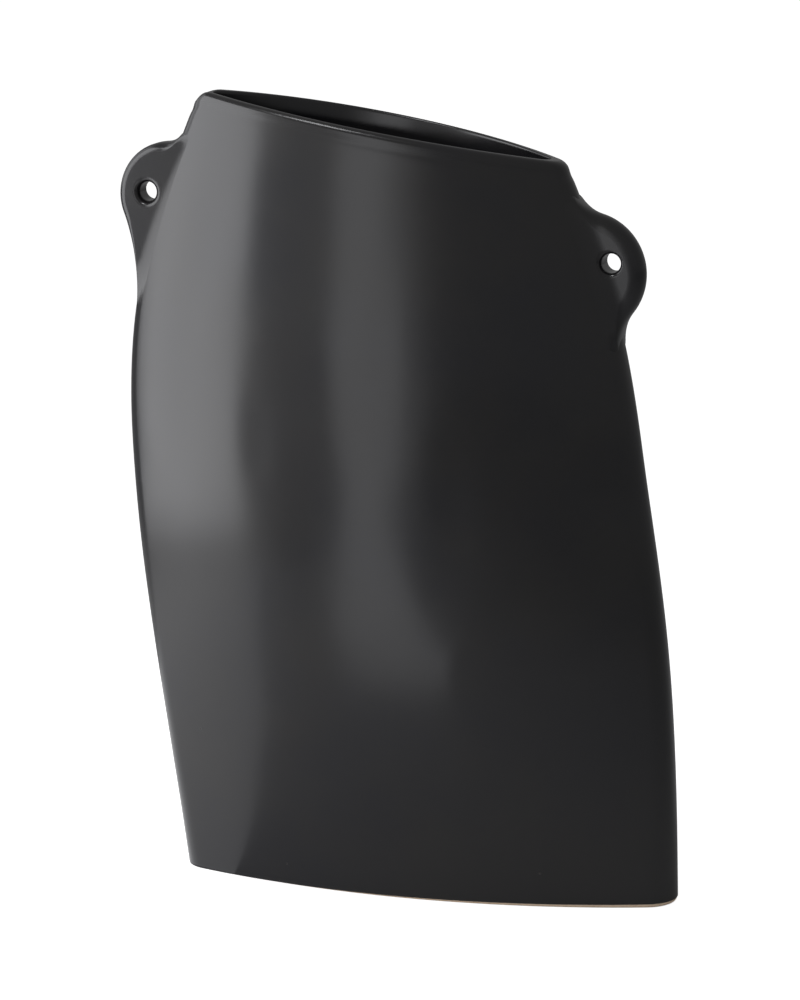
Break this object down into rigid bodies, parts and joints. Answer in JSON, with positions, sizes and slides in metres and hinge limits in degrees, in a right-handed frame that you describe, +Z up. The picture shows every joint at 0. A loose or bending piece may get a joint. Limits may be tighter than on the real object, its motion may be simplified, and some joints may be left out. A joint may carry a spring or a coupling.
{
  "type": "pillow vase",
  "caption": "Tall flat hand-formed ceramic flower vase with a sloping mouth and a pierced ear on each shoulder.",
  "frame": {"origin": "centre of the foot, on the surface that the vase stands on", "axes": "+Z up, -Y out of the front face, +X to the right as seen from the front"},
  "size_m": [0.2713, 0.0902, 0.3694],
  "materials": {
    "glaze": "satin matt black glaze",
    "clay": "bare fired stoneware clay, light tan"
  },
  "bodies": {
    "root": {"front_wall": "glaze", "back_wall": "glaze", "base_slab": "clay", "left_ear": "glaze", "right_ear": "glaze"}
  },
  "joints": []
}
